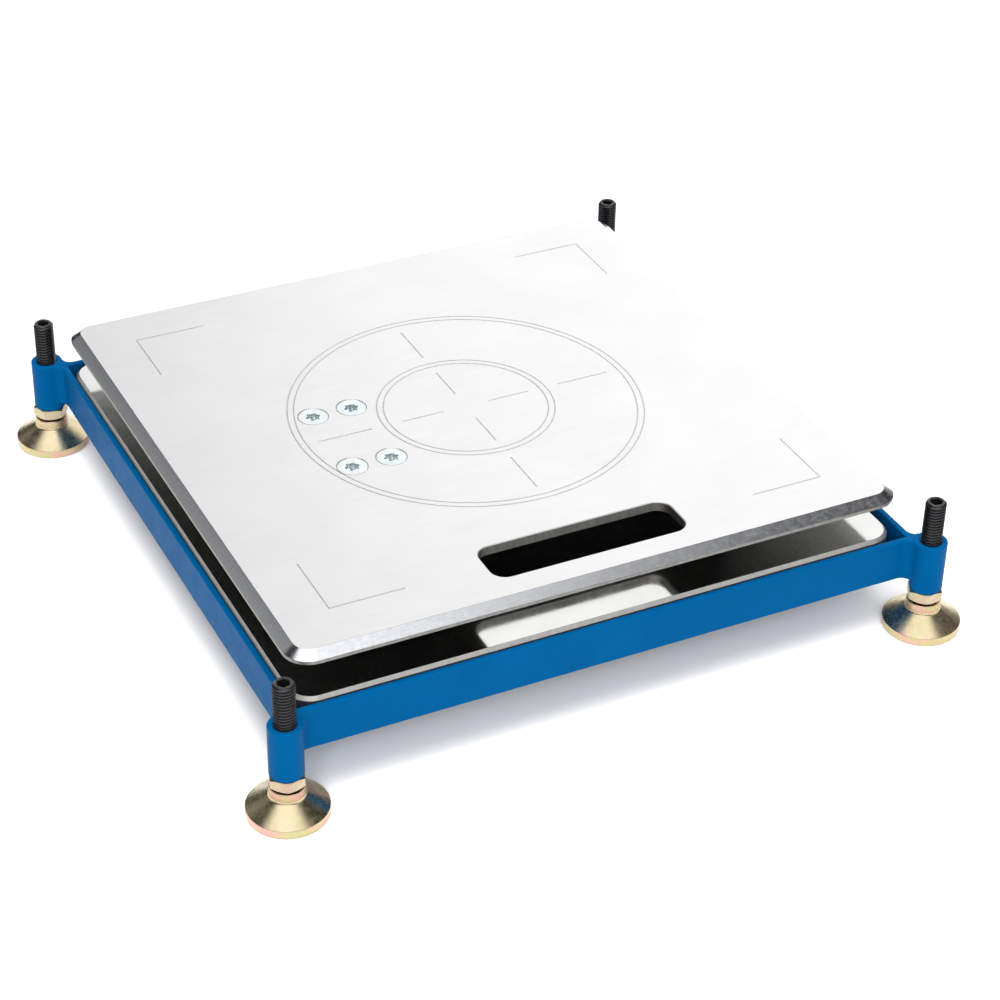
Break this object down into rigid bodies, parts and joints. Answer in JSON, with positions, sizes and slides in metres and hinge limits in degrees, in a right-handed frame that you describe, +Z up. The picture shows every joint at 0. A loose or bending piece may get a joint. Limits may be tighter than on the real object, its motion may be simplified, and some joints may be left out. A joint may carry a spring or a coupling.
{
  "type": "platform scale pad",
  "caption": "Low square aluminium weighing pad with a hand slot, seated in a blue welded levelling frame on screw jacks with swivel feet.",
  "frame": {"origin": "on the floor, under the centre of the frame", "axes": "+X to the right along the edge with the hand slot, +Y to the back, +Z up"},
  "size_m": [0.4516, 0.4516, 0.0896],
  "materials": {
    "blue_powder_coat": "semi-gloss powder coat",
    "milled_aluminium": "fine satin, brushed bevels",
    "rolled_aluminium": "bright mill finish",
    "cell_aluminium": "satin anodised",
    "zinc_screw": "bright blue-white zinc",
    "yellow_zinc_steel": "yellow zinc with faint iridescence",
    "black_oxide_steel": "oiled black oxide",
    "bright_steel": "bright",
    "nylon": "matt",
    "sealant": "matt silicone",
    "black_rubber": "matt",
    "dark_moulding": "fine texture",
    "board_green": "solder resist",
    "cell_wrap": "printed wrap",
    "cable_jacket": "matt jacket",
    "lens_green": "clear lens",
    "button_red": "gloss"
  },
  "bodies": {
    "frame": {"frame_front": "blue_powder_coat", "frame_right": "blue_powder_coat", "frame_back": "blue_powder_coat", "frame_left": "blue_powder_coat", "corner_welds": "blue_powder_coat", "tube_fl": "blue_powder_coat", "tube_fr": "blue_powder_coat", "tube_bl": "blue_powder_coat", "tube_br": "blue_powder_coat"},
    "pad": {"top_plate": "milled_aluminium", "plate_screws": "zinc_screw", "cell_spacer_upper": "milled_aluminium", "load_cell": "cell_aluminium", "gauge_covers": "sealant", "cell_spacer_lower": "milled_aluminium", "base_screws": "zinc_screw", "base_plate": "rolled_aluminium", "pad_feet": "black_rubber", "pad_foot_screws": "zinc_screw", "overload_stops": "black_oxide_steel", "stop_nuts": "zinc_screw", "electronics_box": "dark_moulding", "electronics_lid": "dark_moulding", "lid_screws": "zinc_screw", "circuit_board": "board_green", "battery_holder": "dark_moulding", "battery_cells": "cell_wrap", "antenna": "black_rubber", "cable_gland": "dark_moulding", "cell_cable": "cable_jacket", "button_bezel": "bright_steel", "status_lens": "lens_green"},
    "power_button": {"power_button": "button_red"},
    "seat_fl": {"ball_seat_fl": "nylon"},
    "screw_fl": {"jack_screw_fl": "black_oxide_steel"},
    "ring_fl": {"retaining_ring_fl": "bright_steel"},
    "foot_fl": {"foot_fl": "yellow_zinc_steel"},
    "nut_fl": {"jam_nut_fl": "yellow_zinc_steel"},
    "seat_fr": {"ball_seat_fr": "nylon"},
    "screw_fr": {"jack_screw_fr": "black_oxide_steel"},
    "ring_fr": {"retaining_ring_fr": "bright_steel"},
    "foot_fr": {"foot_fr": "yellow_zinc_steel"},
    "nut_fr": {"jam_nut_fr": "yellow_zinc_steel"},
    "seat_bl": {"ball_seat_bl": "nylon"},
    "screw_bl": {"jack_screw_bl": "black_oxide_steel"},
    "ring_bl": {"retaining_ring_bl": "bright_steel"},
    "foot_bl": {"foot_bl": "yellow_zinc_steel"},
    "nut_bl": {"jam_nut_bl": "yellow_zinc_steel"},
    "seat_br": {"ball_seat_br": "nylon"},
    "screw_br": {"jack_screw_br": "black_oxide_steel"},
    "ring_br": {"retaining_ring_br": "bright_steel"},
    "foot_br": {"foot_br": "yellow_zinc_steel"},
    "nut_br": {"jam_nut_br": "yellow_zinc_steel"}
  },
  "joints": [
    {"name": "pad_lift", "type": "slide", "parent": "frame", "child": "pad", "axis": [0, 0, 1], "range_m": [0, 0.08]},
    {"name": "button_press", "type": "slide", "parent": "pad", "child": "power_button", "axis": [-1, 0, 0], "range_m": [0, 0.0012], "stiffness_N_per_m": 600, "springref_m": -0.002},
    {"name": "jack_travel_fl", "type": "slide", "parent": "frame", "child": "seat_fl", "axis": [0, 0, -1], "range_m": [0, 0.025]},
    {"name": "jack_turn_fl", "type": "hinge", "parent": "seat_fl", "child": "screw_fl", "pos_m": [-0.2026, -0.2026, 0.011], "axis": [0, 0, 1], "range_deg": [-4680, 0]},
    {"name": "foot_tilt_x_fl", "type": "hinge", "parent": "seat_fl", "child": "ring_fl", "pos_m": [-0.2026, -0.2026, 0.011], "axis": [1, 0, 0], "range_deg": [-5, 5]},
    {"name": "foot_tilt_y_fl", "type": "hinge", "parent": "ring_fl", "child": "foot_fl", "pos_m": [-0.2026, -0.2026, 0.011], "axis": [0, 1, 0], "range_deg": [-5, 5]},
    {"name": "nut_spin_fl", "type": "hinge", "parent": "frame", "child": "nut_fl", "pos_m": [-0.2026, -0.2026, 0.024], "axis": [0, 0, 1], "range_deg": [-200, 0]},
    {"name": "jack_travel_fr", "type": "slide", "parent": "frame", "child": "seat_fr", "axis": [0, 0, -1], "range_m": [0, 0.025]},
    {"name": "jack_turn_fr", "type": "hinge", "parent": "seat_fr", "child": "screw_fr", "pos_m": [0.2026, -0.2026, 0.011], "axis": [0, 0, 1], "range_deg": [-4680, 0]},
    {"name": "foot_tilt_x_fr", "type": "hinge", "parent": "seat_fr", "child": "ring_fr", "pos_m": [0.2026, -0.2026, 0.011], "axis": [1, 0, 0], "range_deg": [-5, 5]},
    {"name": "foot_tilt_y_fr", "type": "hinge", "parent": "ring_fr", "child": "foot_fr", "pos_m": [0.2026, -0.2026, 0.011], "axis": [0, 1, 0], "range_deg": [-5, 5]},
    {"name": "nut_spin_fr", "type": "hinge", "parent": "frame", "child": "nut_fr", "pos_m": [0.2026, -0.2026, 0.024], "axis": [0, 0, 1], "range_deg": [-200, 0]},
    {"name": "jack_travel_bl", "type": "slide", "parent": "frame", "child": "seat_bl", "axis": [0, 0, -1], "range_m": [0, 0.025]},
    {"name": "jack_turn_bl", "type": "hinge", "parent": "seat_bl", "child": "screw_bl", "pos_m": [-0.2026, 0.2026, 0.011], "axis": [0, 0, 1], "range_deg": [-4680, 0]},
    {"name": "foot_tilt_x_bl", "type": "hinge", "parent": "seat_bl", "child": "ring_bl", "pos_m": [-0.2026, 0.2026, 0.011], "axis": [1, 0, 0], "range_deg": [-5, 5]},
    {"name": "foot_tilt_y_bl", "type": "hinge", "parent": "ring_bl", "child": "foot_bl", "pos_m": [-0.2026, 0.2026, 0.011], "axis": [0, 1, 0], "range_deg": [-5, 5]},
    {"name": "nut_spin_bl", "type": "hinge", "parent": "frame", "child": "nut_bl", "pos_m": [-0.2026, 0.2026, 0.024], "axis": [0, 0, 1], "range_deg": [-200, 0]},
    {"name": "jack_travel_br", "type": "slide", "parent": "frame", "child": "seat_br", "axis": [0, 0, -1], "range_m": [0, 0.025]},
    {"name": "jack_turn_br", "type": "hinge", "parent": "seat_br", "child": "screw_br", "pos_m": [0.2026, 0.2026, 0.011], "axis": [0, 0, 1], "range_deg": [-4680, 0]},
    {"name": "foot_tilt_x_br", "type": "hinge", "parent": "seat_br", "child": "ring_br", "pos_m": [0.2026, 0.2026, 0.011], "axis": [1, 0, 0], "range_deg": [-5, 5]},
    {"name": "foot_tilt_y_br", "type": "hinge", "parent": "ring_br", "child": "foot_br", "pos_m": [0.2026, 0.2026, 0.011], "axis": [0, 1, 0], "range_deg": [-5, 5]},
    {"name": "nut_spin_br", "type": "hinge", "parent": "frame", "child": "nut_br", "pos_m": [0.2026, 0.2026, 0.024], "axis": [0, 0, 1], "range_deg": [-200, 0]}
  ],
  "couplings": [
    {"joint": "jack_turn_fl", "follows": "jack_travel_fl", "rad_per_m": -3215.8},
    {"joint": "jack_turn_fr", "follows": "jack_travel_fr", "rad_per_m": -3215.8},
    {"joint": "jack_turn_bl", "follows": "jack_travel_bl", "rad_per_m": -3215.8},
    {"joint": "jack_turn_br", "follows": "jack_travel_br", "rad_per_m": -3215.8}
  ]
}
